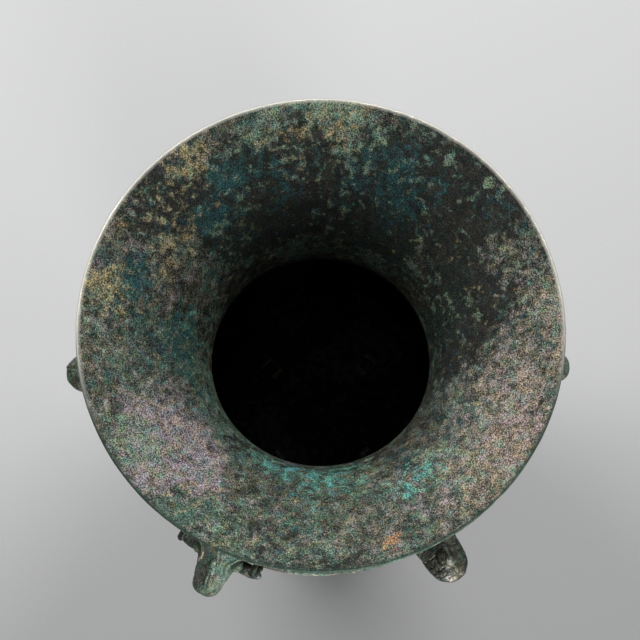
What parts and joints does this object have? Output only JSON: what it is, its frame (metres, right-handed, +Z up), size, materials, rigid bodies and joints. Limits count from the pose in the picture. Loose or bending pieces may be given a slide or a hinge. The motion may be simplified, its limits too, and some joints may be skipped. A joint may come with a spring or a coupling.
{
  "type": "bronze zun",
  "caption": "Large-mouthed ritual wine vessel with a trumpet mouth, folded shoulder, flanged belly and ring foot; rams' heads and birds are riveted to the shoulder.",
  "frame": {"origin": "centre of the ring foot, in the plane that it stands on", "axes": "+Z up along the vessel's axis; +X out through the first ram's head"},
  "size_m": [0.493, 0.45, 0.48],
  "materials": {
    "vessel_bronze": "patinated cast bronze, matt to satin",
    "ornament_bronze": "patinated cast bronze, matt",
    "spacer_bronze": "patinated cast bronze, a little browner than the wall",
    "fired_clay": "low-fired mould clay"
  },
  "bodies": {
    "root": {"vessel": "vessel_bronze", "ram_head_1": "ornament_bronze", "ram_head_2": "ornament_bronze", "ram_head_3": "ornament_bronze", "ram_horn_1_left": "ornament_bronze", "ram_horn_1_right": "ornament_bronze", "ram_horn_2_left": "ornament_bronze", "ram_horn_2_right": "ornament_bronze", "ram_horn_3_left": "ornament_bronze", "ram_horn_3_right": "ornament_bronze", "bird_1": "ornament_bronze", "bird_2": "ornament_bronze", "bird_3": "ornament_bronze", "clay_core_1": "fired_clay", "clay_core_2": "fired_clay", "clay_core_3": "fired_clay", "floor_spacer_1": "spacer_bronze", "floor_spacer_2": "spacer_bronze", "floor_spacer_3": "spacer_bronze", "floor_spacer_4": "spacer_bronze", "foot_spacer_1": "spacer_bronze", "foot_spacer_2": "spacer_bronze", "foot_spacer_3": "spacer_bronze"}
  },
  "joints": []
}
